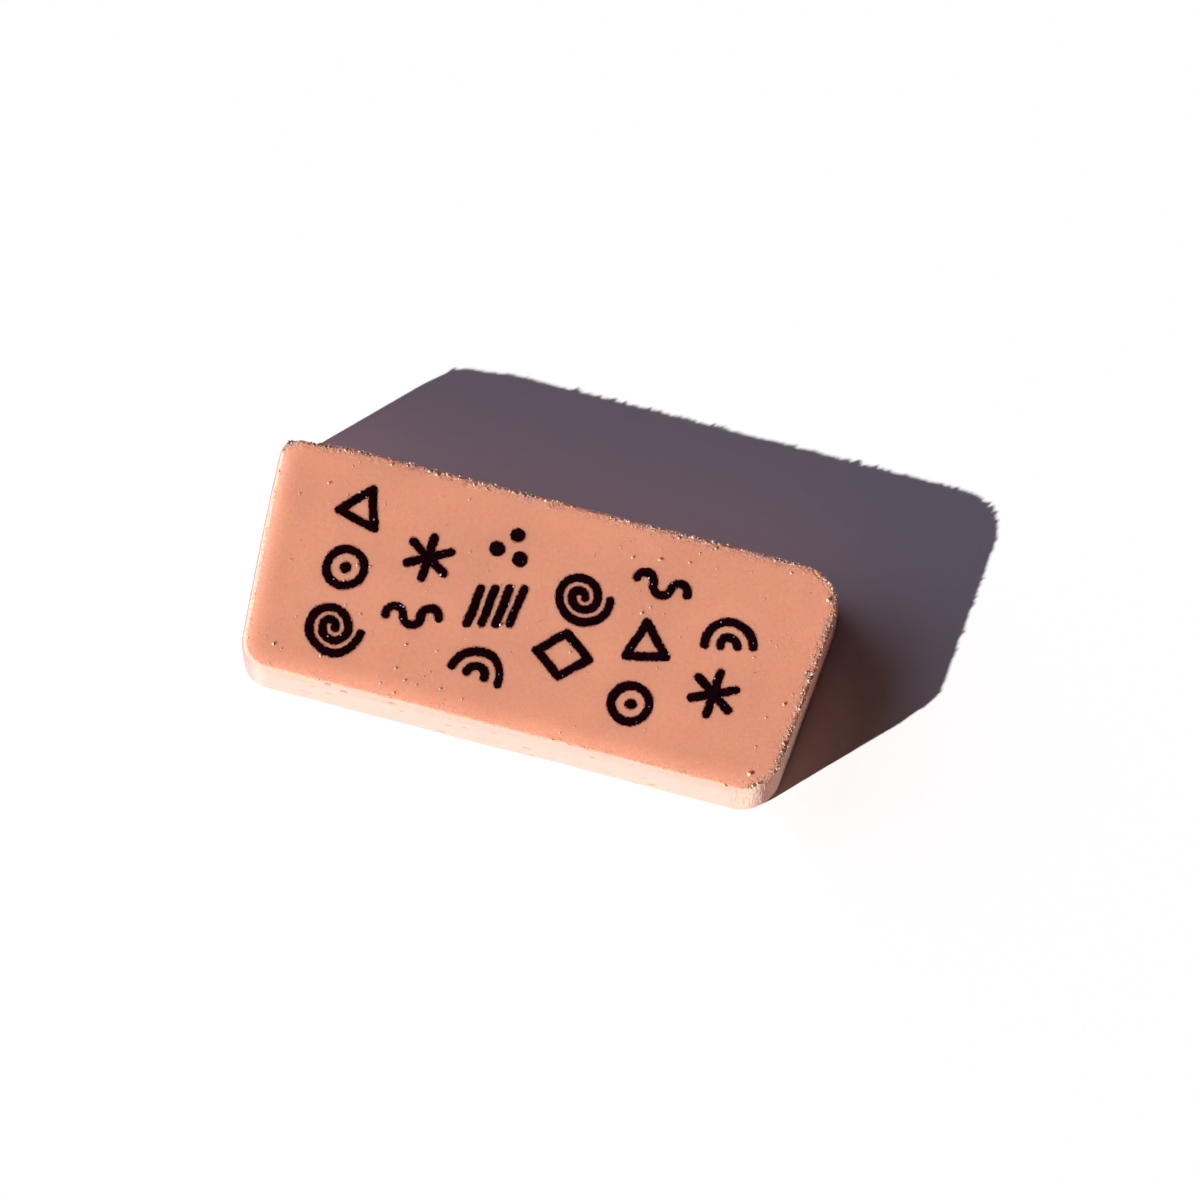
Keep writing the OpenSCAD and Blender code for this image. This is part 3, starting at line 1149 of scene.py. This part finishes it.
class ERASER_OT_stage(bpy.types.Operator):
    """Set up the pale floor, the light and the camera"""

    bl_idname = "eraser.stage"
    bl_label = "Stage"

    def execute(self, context):
        settings = context.scene.eraser_stage
        scene = context.scene
        scene.view_settings.view_transform = "Standard"

        bm = bmesh.new()
        bmesh.ops.create_grid(bm, x_segments=1, y_segments=1, size=FLOOR_HALF)
        floor = finished("floor", bm, [floor_material(settings)], body=None, smooth=False)

        world = bpy.data.worlds.new("pale_room")
        world.use_nodes = True
        background = world.node_tree.nodes["Background"]
        background.inputs["Strength"].default_value = 1.0
        glow = tuple(settings.room_strength * c for c in settings.room_colour)
        nodes = Nodes(world)
        nodes.link(nodes.mixed(is_seen(nodes), glow, (1, 1, 1)), background.inputs["Color"])
        scene.world = world

        add_sun("key_light", settings.key_azimuth, settings.key_elevation,
                settings.key_strength, settings.key_softness, settings.key_colour)
        add_sun("fill_light", settings.fill_azimuth, settings.fill_elevation,
                settings.fill_strength, settings.fill_softness, settings.fill_colour)

        camera = bpy.data.objects.new("camera", bpy.data.cameras.new("camera"))
        back = seen_from(settings.view_azimuth, settings.view_elevation)
        turned = back.to_track_quat("Z", "Y")
        aim = Vector((0, 0, TOP_Z)) + turned @ Vector((settings.aim_right, settings.aim_up, 0))
        camera.rotation_mode = "QUATERNION"
        camera.rotation_quaternion = turned
        camera.location = aim + back * settings.view_distance
        camera.data.lens = camera.data.sensor_width * settings.view_distance / settings.view_width
        camera.data.clip_end = CAMERA_REACH
        scene.collection.objects.link(camera)
        scene.camera = camera
        return {"FINISHED"}


def add_sun(name, azimuth, elevation, strength, softness, colour):
    """A far light that shines on the block from a place round it."""
    sun = bpy.data.objects.new(name, bpy.data.lights.new(name, "SUN"))
    sun.data.energy = strength
    sun.data.angle = softness
    sun.data.color = colour
    sun.rotation_mode = "QUATERNION"
    sun.rotation_quaternion = seen_from(azimuth, elevation).to_track_quat("Z", "Y")
    bpy.context.scene.collection.objects.link(sun)


def seen_from(azimuth, elevation):
    """Direction from the block to a place round it: azimuth 0 is the near side."""
    return Vector((math.sin(azimuth) * math.cos(elevation),
                   -math.cos(azimuth) * math.cos(elevation), math.sin(elevation)))


class ERASER_PT_sidebar(bpy.types.Panel):
    """Lists the pieces of the eraser"""

    bl_idname = "ERASER_PT_sidebar"
    bl_label = "Rubber eraser"
    bl_space_type = "VIEW_3D"
    bl_region_type = "UI"
    bl_category = "Eraser"

    def draw(self, context):
        for _, group_name, operator in PARTS:
            self.layout.operator(operator.bl_idname)
            group = getattr(context.scene, group_name)
            box = self.layout.box()
            for name in group.bl_rna.properties.keys():
                if name not in ("rna_type", "name"):
                    box.prop(group, name)


# Settings, the name that they have on a scene, and the operator that reads them
PARTS = (
    (EraserBlockSettings, "eraser_block", ERASER_OT_rubber_block),
    (EraserCrumbSettings, "eraser_crumbs", ERASER_OT_rubber_crumbs),
    (EraserInkSettings, "eraser_ink", ERASER_OT_ink_marks),
    (EraserStageSettings, "eraser_stage", ERASER_OT_stage),
)


def register():
    for settings, group_name, operator in PARTS:
        bpy.utils.register_class(settings)
        setattr(bpy.types.Scene, group_name, bpy.props.PointerProperty(type=settings))
        bpy.utils.register_class(operator)
    bpy.utils.register_class(ERASER_PT_sidebar)


def unregister():
    bpy.utils.unregister_class(ERASER_PT_sidebar)
    for settings, group_name, operator in reversed(PARTS):
        bpy.utils.unregister_class(operator)
        delattr(bpy.types.Scene, group_name)
        bpy.utils.unregister_class(settings)


def main():
    register()
    bpy.ops.eraser.rubber_block()
    bpy.ops.eraser.rubber_crumbs()
    bpy.ops.eraser.ink_marks()
    bpy.ops.eraser.stage()


if __name__ == "__main__":
    main()
